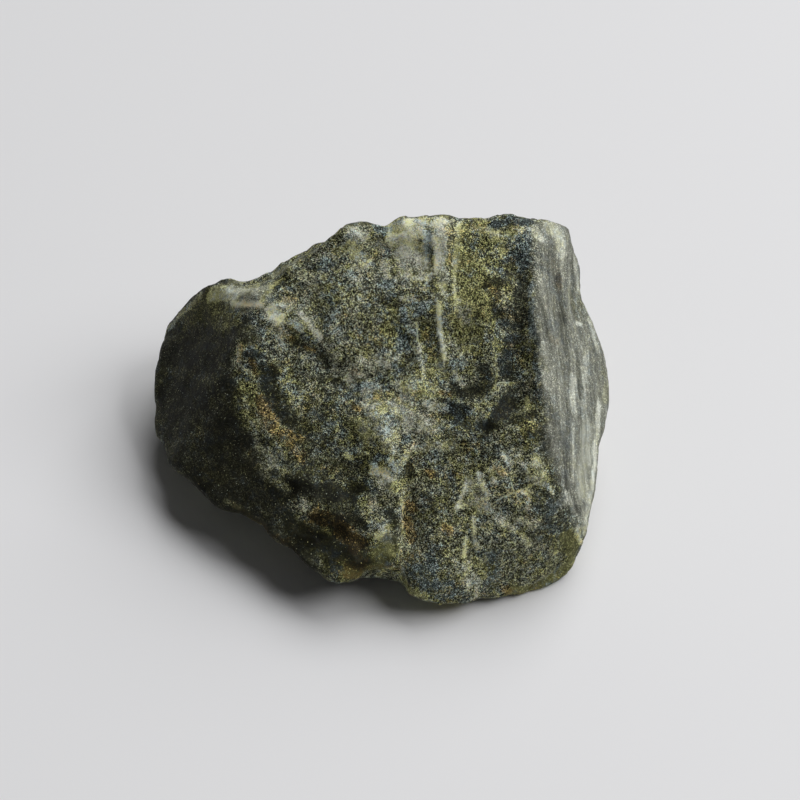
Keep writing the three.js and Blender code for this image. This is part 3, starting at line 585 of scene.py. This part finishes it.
def direction(facing, tilt):
    """Unit vector of a face from its compass facing and its tilt from straight up."""
    around = math.radians(facing)
    over = math.radians(tilt)
    return np.array([math.sin(over) * math.cos(around), math.sin(over) * math.sin(around), math.cos(over)])


def fine_grid(node):
    """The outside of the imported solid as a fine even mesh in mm."""
    mesh = node.data.copy()
    mesh.transform(Matrix.Scale(1 / MM, 4))
    rough = bpy.data.objects.new("rough", mesh)
    bpy.context.scene.collection.objects.link(rough)
    remesh = rough.modifiers.new("grid", "REMESH")
    remesh.mode = "VOXEL"
    remesh.voxel_size = GRID
    shown = rough.evaluated_get(bpy.context.evaluated_depsgraph_get())
    fine = bpy.data.meshes.new_from_object(shown)
    bpy.data.objects.remove(rough)
    bpy.data.meshes.remove(mesh)
    return fine


class Surface:
    """The points of the fine mesh, which the relief moves, with what is needed to work on them."""

    def __init__(self, mesh):
        self.mesh = mesh
        count = len(mesh.vertices)
        self.points = np.empty(count * 3)
        mesh.vertices.foreach_get("co", self.points)
        self.points = self.points.reshape(-1, 3)
        self.edges = np.empty(len(mesh.edges) * 2, np.int32)
        mesh.edges.foreach_get("vertices", self.edges)
        self.edges = self.edges.reshape(-1, 2)
        mesh.calc_loop_triangles()
        self.triangles = np.empty(len(mesh.loop_triangles) * 3, np.int32)
        mesh.loop_triangles.foreach_get("vertices", self.triangles)
        self.triangles = self.triangles.reshape(-1, 3)
        self.refresh()

    def refresh(self):
        """Works the normals and the search tree out again after the points have moved."""
        corners = self.points[self.triangles]
        flat = np.cross(corners[:, 1] - corners[:, 0], corners[:, 2] - corners[:, 0])
        self.normals = np.stack([
            sum(np.bincount(self.triangles[:, k], flat[:, axis], len(self.points)) for k in range(3))
            for axis in range(3)
        ], 1)
        self.normals /= np.linalg.norm(self.normals, axis=1, keepdims=True)
        self.tree = BVHTree.FromPolygons(self.points.tolist(), self.triangles.tolist())

    def relax(self, passes):
        """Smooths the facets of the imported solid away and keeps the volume: each pass pulls every point
        towards the middle of its neighbours and then pushes it back a little further."""
        a, b = self.edges.T
        count = len(self.points)
        degree = np.bincount(a, minlength=count) + np.bincount(b, minlength=count)
        for _ in range(passes):
            for share in RELAX_SHARES:
                middle = np.stack([
                    np.bincount(a, self.points[b, axis], count) + np.bincount(b, self.points[a, axis], count)
                    for axis in range(3)
                ], 1) / degree[:, None]
                self.points += share * (middle - self.points)
        self.refresh()

    def under(self, pixel):
        """The point of the stone under a pixel of the photograph, or the nearest one past its outline."""
        across, down = pixel
        span = SENSOR / LENS / IMAGE
        ray = -BACK + RIGHT * (across - IMAGE / 2) * span - UP * (down - IMAGE / 2) * span
        ray = Vector(ray / np.linalg.norm(ray))
        hit = self.tree.ray_cast(Vector(EYE), ray)[0]
        if hit is None:
            hit = self.tree.find_nearest(Vector(EYE) + ray * DISTANCE)[0]
        return np.array(hit)

    def track(self, path):
        """Points along a path, laid on the stone."""
        pixels = [tuple(map(float, place.split(","))) for place in path.split()]
        found = [self.under(pixels[0])]
        for start, end in zip(pixels, pixels[1:]):
            steps = max(1, round(math.dist(start, end) / TRACK_STEP))
            for k in range(1, steps + 1):
                share = k / steps
                found.append(self.under([s + (e - s) * share for s, e in zip(start, end)]))
        return found

    def measure(self, path, reach, points=None):
        """For every point: the distance to a path, the side (+1 left of a path that runs down the picture)
        and the overrun, which is how far the point lies past the ends of the path. Points much further
        off than reach get an endless distance."""
        points = self.points if points is None else points
        track = np.array(self.track(path))
        near = np.flatnonzero(((points > track.min(0) - reach) & (points < track.max(0) + reach)).all(1))
        distance = np.full(len(points), np.inf)
        side = np.ones(len(points))
        overrun = np.zeros(len(points))
        last = len(track) - 2
        for k, (start, end) in enumerate(zip(track, track[1:])):
            run = end - start
            length = np.linalg.norm(run)
            if length < 1e-6:
                continue
            share = (points[near] - start) @ run / length**2
            off = points[near] - start - np.clip(share, 0, 1)[:, None] * run
            away = np.linalg.norm(off, axis=1)
            closer = away < distance[near]
            found = near[closer]
            distance[found] = away[closer]
            side[found] = np.sign(np.einsum("ij,ij->i", np.cross(run, self.normals[found]), off[closer]))
            before = -share[closer] * length if k == 0 else np.zeros(len(found))
            after = (share[closer] - 1) * length if k == last else np.zeros(len(found))
            overrun[found] = np.maximum(0, np.maximum(before, after))
        return distance, side, overrun

    def raise_by(self, height):
        """Moves every point along its normal by its height, and fades the move out next to the floor."""
        above = np.clip(self.points[:, 2] / GROUND_BAND, 0, 1)
        self.points += self.normals * (height * above)[:, None]
        self.refresh()


def waves(points, size, seed):
    """Smooth noise from about -1 to 1 whose lumps have the given size in mm."""
    spots = points / size + seed * SEED_STEP
    return np.array([noise.noise(spot) for spot in spots.tolist()])


def layers(points, rows):
    """Waves laid over one another, each with its height, size and seed."""
    return sum(tall * waves(points, size, seed) for tall, size, seed in rows)


def wandering(points, seed):
    """Shifts of the points, so that what is measured from the shifted points gets ragged edges."""
    share, finer = WANDER_FINE
    coarse = [waves(points, WANDER_SIZE, seed + axis) for axis in range(3)]
    fine = [waves(points, WANDER_SIZE / finer, seed + 3 + axis) for axis in range(3)]
    return np.stack(coarse, 1) + share * np.stack(fine, 1)


def fractured(points, size, lean, seed):
    """Small flat facets, each leaning its own way: the height over a base surface in mm."""
    spots = points / size + seed * FACET_SEED_STEP
    height = np.empty(len(points))
    for k, spot in enumerate(spots.tolist()):
        centre = noise.voronoi(spot)[1][0]
        tilt = noise.cell_vector(centre * FACET_SPREAD)
        height[k] = (Vector(spot) - centre).dot(tilt)
    return height * size * lean


def on_face(points, face):
    """1 on the broken face, falling to 0 past its edges."""
    facing, tilt, reach = face
    gap = reach - (points - HEART) @ direction(facing, tilt)
    return np.exp(-(np.maximum(gap, 0) / FACE_SOFTNESS) ** 2)


def hidden(surface):
    """1 where the stone faces away from the view of the photograph, falling to 0 before its outline."""
    return np.clip(-HIDDEN_SLOPE * (surface.normals @ BACK) - HIDDEN_START, 0, 1)


def flutes(surface):
    """The place of every point across the flutes of the right wall and along them, in mm."""
    distance, side, _ = surface.measure(FLUTE, FLUTE_REACH)
    return np.minimum(distance, FLUTE_REACH) * side, surface.points[:, 2] * FLUTE_STRETCH


def carve(surface):
    """Adds the ledges, lines and broken relief to the fine surface."""
    height = np.zeros(len(surface.points))
    ragged = surface.points + RELIEF_WANDER * WANDER * wandering(surface.points, RELIEF_SEED)
    for path, rise, fall, run in LEDGES.values():
        distance, side, overrun = surface.measure(path, LEDGE_REACH * run, ragged)
        share = np.exp(-distance / run - (overrun / LEDGE_END) ** 2)
        height += rise / 2 * side * np.tanh(distance / fall) * share
    for path, tall, width in LINES.values():
        distance = surface.measure(path, LINE_REACH * width, ragged)[0]
        height += tall * np.exp(-((distance / width) ** 2))
    surface.raise_by(height)

    points = surface.points
    smooth = np.clip(on_face(points, LEFT_WALL) + on_face(points, CHIN), 0, 1)
    wall = on_face(points, RIGHT_WALL)
    broken = 1 - LEFT_SMOOTHNESS * smooth - RIGHT_SMOOTHNESS * wall
    height = broken * (layers(points, BROKEN_WAVES) + fractured(points, *BROKEN_FACETS))
    unseen = layers(points, HIDDEN_WAVES) + fractured(points, *HIDDEN_FACETS) - HIDDEN_SINK
    height += hidden(surface) * unseen
    across, along = flutes(surface)
    ribbed = np.stack([across, along, np.zeros(len(points))], 1)
    height += wall * layers(ribbed, RIB_WAVES)
    surface.raise_by(height)


def marks(surface):
    """The finish of every point by name: level, speckle, the tints, and the shares of wall and left."""
    points = surface.points
    wander = WANDER * wandering(points, FINISH_SEED)
    left = on_face(points + wander, LEFT_WALL)
    chin = on_face(points + wander, CHIN) * (1 - left)
    wall = on_face(points + WALL_WANDER * wander, RIGHT_WALL)
    made = {kind: np.full(len(points), value) for kind, value in FINISHES["front"].items()}
    for face, share in (("left wall", left), ("chin", chin), ("right wall", wall)):
        for kind, value in FINISHES[face].items():
            made[kind] += share * (value - made[kind])
    made["wall"] = wall
    made["left"] = left + chin
    for path, width, level, *changes in PATCHES.values():
        ragged = points + wander * min(1, width / WANDER_WIDTH)
        distance = surface.measure(path, PATCH_REACH * width + PATCH_MARGIN, ragged)[0]
        share = 1 / (1 + (distance / width) ** PATCH_EDGE)
        for kind, value in dict(*changes, level=level).items():
            made[kind] += share * (value - made[kind])
    unseen = hidden(surface)
    for rows, places, share in (
        (DRIFTS, points, 1.0),
        (HIDDEN_LEVELS, points + wander, unseen),
        (HIDDEN_TINTS, points, unseen),
    ):
        for kind, strength, size, seed in rows:
            made[kind] += strength * share * waves(places, size, seed)
    return made


def lit_chips(surface):
    """The side and distance of the nearest white line of a chipped, lit edge, as one number that is 0 on the
    edge, and the plain distance."""
    nearest = np.full(len(surface.points), LIT_CHIP_REACH)
    signed = nearest.copy()
    for path, width in LIT_CHIPS.values():
        distance, side, overrun = surface.measure(path, LIT_CHIP_REACH)
        distance = np.minimum(distance + LIT_CHIP_END * overrun, LIT_CHIP_REACH) * LIT_CHIP_WIDTH / width
        closer = distance < nearest
        nearest[closer] = distance[closer]
        signed[closer] = (distance * side)[closer]
    return signed, nearest


def write(mesh, name, values):
    """Keeps one number per point in the mesh for the material to read."""
    mesh.attributes.new(name, "FLOAT", "POINT").data.foreach_set("value", values.astype(np.float32))


class Shader:
    """Adds the nodes of one material. Every method gives back an output that later ones take as input."""

    def __init__(self, name):
        self.material = bpy.data.materials.new(name)
        self.material.use_nodes = True
        self.tree = self.material.node_tree
        self.surface = self.tree.nodes["Principled BSDF"]
        place = self.tree.nodes.new("ShaderNodeTexCoord").outputs["Object"]
        self.place = self.scaled(place, 1 / MM)

    def link(self, value, socket):
        """Joins an output to a socket, or writes a plain number or colour there."""
        if isinstance(value, bpy.types.NodeSocket):
            self.tree.links.new(value, socket)
        elif isinstance(value, tuple) and len(socket.default_value) == 4:
            socket.default_value = (*value, 1)
        else:
            socket.default_value = value

    def calc(self, operation, *values):
        node = self.tree.nodes.new("ShaderNodeMath")
        node.operation = operation
        for value, socket in zip(values, node.inputs):
            self.link(value, socket)
        return node.outputs[0]

    def total(self, start, *terms):
        """start plus every value times its factor."""
        for value, factor in terms:
            start = self.calc("MULTIPLY_ADD", value, factor, start)
        return start

    def scaled(self, vector, factor):
        node = self.tree.nodes.new("ShaderNodeVectorMath")
        node.operation = "SCALE"
        self.link(vector, node.inputs[0])
        self.link(factor, node.inputs["Scale"])
        return node.outputs[0]

    def times(self, first, second):
        node = self.tree.nodes.new("ShaderNodeVectorMath")
        node.operation = "MULTIPLY"
        self.link(first, node.inputs[0])
        self.link(second, node.inputs[1])
        return node.outputs[0]

    def joined(self, *values):
        node = self.tree.nodes.new("ShaderNodeCombineXYZ")
        for value, socket in zip(values, node.inputs):
            self.link(value, socket)
        return node.outputs[0]

    def mark(self, name):
        node = self.tree.nodes.new("ShaderNodeAttribute")
        node.attribute_name = name
        return node.outputs["Fac"]

    def noise(self, size, detail, rough, place=None):
        """Noise around 0 whose lumps have the given size in mm."""
        node = self.tree.nodes.new("ShaderNodeTexNoise")
        self.link(self.place if place is None else place, node.inputs["Vector"])
        node.inputs["Scale"].default_value = 1 / size
        node.inputs["Detail"].default_value = detail
        node.inputs["Roughness"].default_value = rough
        return self.calc("SUBTRACT", node.outputs["Fac"], 0.5)

    def cells(self, size):
        """Crystal grains of the given size in mm: three random numbers from -0.5 to 0.5 for every grain."""
        node = self.tree.nodes.new("ShaderNodeTexVoronoi")
        self.link(self.place, node.inputs["Vector"])
        node.inputs["Scale"].default_value = 1 / size
        parts = self.tree.nodes.new("ShaderNodeSeparateColor")
        self.link(node.outputs["Color"], parts.inputs[0])
        return [self.calc("SUBTRACT", part, 0.5) for part in parts.outputs]

    def rise(self, value, low, high):
        """0 below low and 1 above high, with a smooth change between them."""
        node = self.tree.nodes.new("ShaderNodeMapRange")
        node.interpolation_type = "SMOOTHSTEP"
        self.link(value, node.inputs["Value"])
        self.link(low, node.inputs["From Min"])
        self.link(high, node.inputs["From Max"])
        return node.outputs[0]

    def mix(self, first, second, share):
        node = self.tree.nodes.new("ShaderNodeMixRGB")
        self.link(share, node.inputs["Fac"])
        self.link(first, node.inputs["Color1"])
        self.link(second, node.inputs["Color2"])
        return node.outputs[0]

    def bump(self, height, depth):
        node = self.tree.nodes.new("ShaderNodeBump")
        node.inputs["Distance"].default_value = depth * MM
        self.link(height, node.inputs["Height"])
        return node.outputs[0]


def sapphire_material():
    """Dark stone frosted with tiny pale grains. The colour is a brightness times a hue."""
    s = Shader("rough_sapphire")
    grain, tint, glint = s.cells(GRAIN)
    clump = s.cells(CLUMP)[0]
    ragged = s.noise(*RAGGED)
    drift = s.noise(*DRIFTING)
    speckle = s.mark("speckle")
    blotch = s.rise(s.noise(*BLOTCHED), -0.07, 0.07)
    mottle = s.total(-0.08, (ragged, 1.0), (blotch, 0.16))
    bright = s.calc("MULTIPLY", s.mark("level"), s.total(1.0, (mottle, speckle)))
    ribbed = s.joined(s.mark("flute_across"), s.mark("flute_along"), 0.0)
    streak = s.noise(*STREAKED, ribbed)
    band = s.noise(*BANDED, ribbed)
    bright = s.total(bright, (s.total(0.0, (streak, 0.6), (band, 0.5)), s.mark("wall")))
    bright = s.calc("MINIMUM", s.calc("MAXIMUM", bright, DARKEST), BRIGHTEST)

    olive = s.rise(s.total(s.mark("olive"), (drift, 3.0), (tint, 0.3)), 0.1, 0.9)
    blue = s.rise(s.total(s.mark("blue"), (drift, -3.0), (tint, -0.3)), 0.25, 0.95)
    rust = s.rise(s.total(s.mark("rust"), (ragged, 2.2), (tint, 0.3)), 0.25, 0.95)
    hue = s.mix(DARK_STONE, PALE_STONE, s.total(bright, (grain, 0.3)))
    hue = s.mix(hue, OLIVE, s.calc("MULTIPLY", olive, s.total(0.95, (bright, -0.3))))
    hue = s.mix(hue, BLUE, s.calc("MULTIPLY", blue, s.total(0.9, (bright, -0.4))))
    hue = s.mix(hue, RUST, s.calc("MULTIPLY", rust, s.total(0.9, (bright, -0.4))))
    # The right wall turns greyer: partly its frosting, partly a painted sheen.
    hue = s.mix(hue, WALL_GREY_AND_SHEEN, s.calc("MULTIPLY", s.mark("wall"), 0.6))
    hue = s.mix(hue, LEFT_GREY, s.calc("MULTIPLY", s.mark("left"), 0.3))
    own = s.joined(s.total(1.0, (tint, 0.18)), 1.0, s.total(1.0, (glint, 0.3)))
    hue = s.times(hue, s.mix(WHITE, own, speckle))

    # The grains are mostly dark with a few pale ones. Their mean is 1, so they keep the brightness.
    frost = s.total(0.5, (grain, 0.75), (clump, 0.25))
    frost = s.total(-1.0, (s.calc("POWER", frost, FROST_POWER), FROST_GAIN))
    frosted = s.calc("MULTIPLY", speckle, s.rise(s.total(bright, (drift, 0.3)), -0.1, 0.5))
    frosted = s.calc("MULTIPLY", frosted, s.total(1.35, (bright, -0.75)))
    frost = s.total(1.0, (frost, frosted))
    albedo = s.calc("MULTIPLY", s.calc("MULTIPLY", s.calc("POWER", bright, GAMMA), 0.92), frost)
    # Painted glints: a few grains get a pale dot added to the base colour.
    sparkle = s.calc("POWER", s.calc("ADD", grain, 0.5), 2.0)
    sparkle = s.calc("MULTIPLY", s.calc("GREATER_THAN", glint, SPARKLING), sparkle)
    albedo = s.total(albedo, (sparkle, SPARKLE))

    # Painted highlights of lit edges, partly chipping: white lines put into the base colour.
    width = s.total(LIT_CHIP_WIDTH, (ragged, LIT_CHIP_RAGGED))
    inner = s.calc("MULTIPLY", width, 0.5)
    outer = s.calc("MULTIPLY", width, 1.5)
    lit_chip = s.calc("SUBTRACT", 1.0, s.rise(s.calc("ABSOLUTE", s.mark("lit_chip_side")), inner, outer))
    lit_chip = s.calc("MULTIPLY", lit_chip, s.calc("SUBTRACT", 1.0, s.rise(s.mark("lit_chip_near"), *LIT_CHIP_FADE)))
    albedo = s.calc("MAXIMUM", albedo, s.calc("MULTIPLY", lit_chip, LIT_CHIP_ALBEDO))
    s.link(s.scaled(hue, s.calc("MINIMUM", albedo, WHITEST)), s.surface.inputs["Base Color"])

    s.surface.inputs["Roughness"].default_value = ROUGHNESS
    s.surface.inputs["IOR"].default_value = SAPPHIRE_IOR
    s.surface.inputs["Specular IOR Level"].default_value = SAPPHIRE_SPECULAR
    s.link(s.bump(s.total(ragged, (grain, 0.15)), BUMP_DEPTH), s.surface.inputs["Normal"])
    return s.material


def sapphire():
    """The stone with its fine relief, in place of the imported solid."""
    surface = Surface(fine_grid(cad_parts["rough_sapphire"]))
    surface.relax(RELAX_PASSES)
    carve(surface)
    low, high = (np.array(corner) / MM for corner in cad_box)
    surface.points = np.clip(surface.points, low, high)
    surface.refresh()
    mesh = surface.mesh
    for name, values in marks(surface).items():
        write(mesh, name, values)
    measured = ("flute_across", "flute_along", "lit_chip_side", "lit_chip_near")
    for name, values in zip(measured, (*flutes(surface), *lit_chips(surface))):
        write(mesh, name, values)
    mesh.vertices.foreach_set("co", (surface.points * MM).ravel())
    mesh.shade_smooth()
    mesh.materials.clear()
    mesh.materials.append(sapphire_material())
    piece = bpy.data.objects.new("sapphire_stone", mesh)
    bpy.context.scene.collection.objects.link(piece)
    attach(piece, "root")
    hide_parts("rough_sapphire")


def floor():
    """A plain pale sheet under the stone."""
    mesh = bpy.data.meshes.new("floor")
    half = FLOOR_SIZE * MM / 2
    corners = [(-half, -half, 0), (half, -half, 0), (half, half, 0), (-half, half, 0)]
    mesh.from_pydata(corners, [], [(0, 1, 2, 3)])
    sheet = bpy.data.objects.new("floor", mesh)
    bpy.context.scene.collection.objects.link(sheet)
    material = bpy.data.materials.new("floor")
    material.use_nodes = True
    shader = material.node_tree.nodes["Principled BSDF"]
    shader.inputs["Base Color"].default_value = (*PALE_FLOOR, 1)
    shader.inputs["Roughness"].default_value = FLOOR_ROUGHNESS
    shader.inputs["Specular IOR Level"].default_value = FLOOR_SPECULAR
    mesh.materials.append(material)


def softbox(name, facing, height, distance, size, power):
    """A round lamp that shines at the stone: facing is its compass direction, height its angle above the
    floor, and power its watts."""
    data = bpy.data.lights.new(name, "AREA")
    data.shape = "DISK"
    data.size = size * MM
    data.energy = power
    lamp = bpy.data.objects.new(name, data)
    bpy.context.scene.collection.objects.link(lamp)
    way = Vector(direction(facing, 90 - height))
    lamp.location = way * distance * MM
    lamp.rotation_euler = way.to_track_quat("Z", "Y").to_euler()


def lights():
    """Two large soft lamps, behind the stone and to its right, and a faint even glow."""
    softbox("back lamp", facing=60, height=46, distance=3000, size=2672, power=72.0)
    softbox("right lamp", facing=0, height=46, distance=480, size=312, power=1.19)
    world = bpy.data.worlds.new("studio")
    world.use_nodes = True
    glow = world.node_tree.nodes["Background"]
    glow.inputs["Color"].default_value = (1, 1, 1, 1)
    glow.inputs["Strength"].default_value = GLOW
    bpy.context.scene.world = world


def camera():
    data = bpy.data.cameras.new("camera")
    data.lens = LENS
    data.sensor_width = SENSOR
    data.clip_start = CLIP_START
    eye = bpy.data.objects.new("camera", data)
    bpy.context.scene.collection.objects.link(eye)
    eye.location = Vector(EYE) * MM
    eye.rotation_euler = Vector(BACK).to_track_quat("Z", "Y").to_euler()
    bpy.context.scene.camera = eye


def plain_colours():
    """Shows the colours as they are, without a film curve."""
    bpy.context.scene.view_settings.view_transform = "Standard"


camera()
floor()
lights()
plain_colours()
sapphire()
